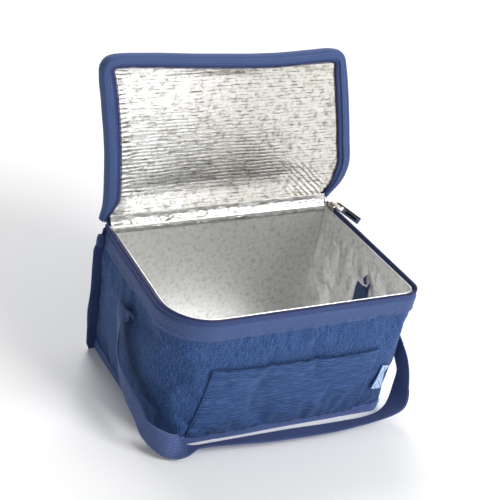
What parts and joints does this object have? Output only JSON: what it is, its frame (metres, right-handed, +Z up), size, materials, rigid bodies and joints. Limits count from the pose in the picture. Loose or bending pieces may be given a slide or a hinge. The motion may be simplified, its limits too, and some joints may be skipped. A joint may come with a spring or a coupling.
{
  "type": "insulated cooler bag",
  "caption": "Small soft-sided insulated cooler bag with a zipped hinged lid, foil lining, front pocket and webbing carry handle.",
  "frame": {"origin": "middle of the base on the floor", "axes": "+X to the bag's right as seen from the front, +Y to the back where the lid hinges, +Z up"},
  "size_m": [0.251, 0.1984, 0.2752],
  "materials": {
    "melange_fabric": "woven melange polyester",
    "foam": "closed-cell polyethylene foam sheet",
    "foil": "wrinkled metallised film",
    "trim_tape": "twill tape",
    "zipper_tape": "knitted zipper tape",
    "zipper_coil": "nylon coil",
    "binding_tape": "folded seam binding",
    "label_ribbon": "woven satin ribbon",
    "webbing": "ribbed webbing",
    "nickel": "nickel-plated zinc"
  },
  "bodies": {
    "bag": {"wall_panel": "melange_fabric", "back_panel": "melange_fabric", "base_panel": "melange_fabric", "front_pocket": "melange_fabric", "hinge_fold": "melange_fabric", "wall_foam": "foam", "back_foam": "foam", "base_foam": "foam", "wall_lining": "foil", "back_lining": "foil", "base_lining": "foil", "mouth_trim": "trim_tape", "mouth_zipper_tape": "zipper_tape", "mouth_zipper_coil": "zipper_coil", "base_binding": "binding_tape", "left_seam_binding": "binding_tape", "right_seam_binding": "binding_tape", "left_zipper_end_tab": "binding_tape", "right_zipper_end_tab": "binding_tape", "side_label": "label_ribbon", "left_strap_end": "webbing", "right_strap_end": "webbing"},
    "lid": {"lid_panel": "melange_fabric", "lid_foam": "foam", "lid_lining": "foil", "lid_trim": "trim_tape", "lid_zipper_tape": "zipper_tape", "lid_zipper_coil": "zipper_coil"},
    "slider": {"slider_body": "nickel", "slider_bridge": "nickel"},
    "puller": {"puller": "nickel"},
    "handle": {"carry_handle": "webbing"}
  },
  "joints": [
    {"name": "lid_hinge", "type": "hinge", "parent": "bag", "child": "lid", "pos_m": [0, 0.0723, 0.127], "axis": [1, 0, 0], "range_deg": [-75, 95]},
    {"name": "slider_travel", "type": "slide", "parent": "bag", "child": "slider", "axis": [0.0591, -0.9983, 0], "range_m": [0, 0.11]},
    {"name": "puller_swing", "type": "hinge", "parent": "slider", "child": "puller", "pos_m": [0.11199, 0.062, 0.127], "axis": [0, 0, 1], "range_deg": [-25, 45]},
    {"name": "handle_swing", "type": "hinge", "parent": "bag", "child": "handle", "pos_m": [0, -0.004, 0.088], "axis": [-1, 0, 0], "range_deg": [0, 125]}
  ]
}
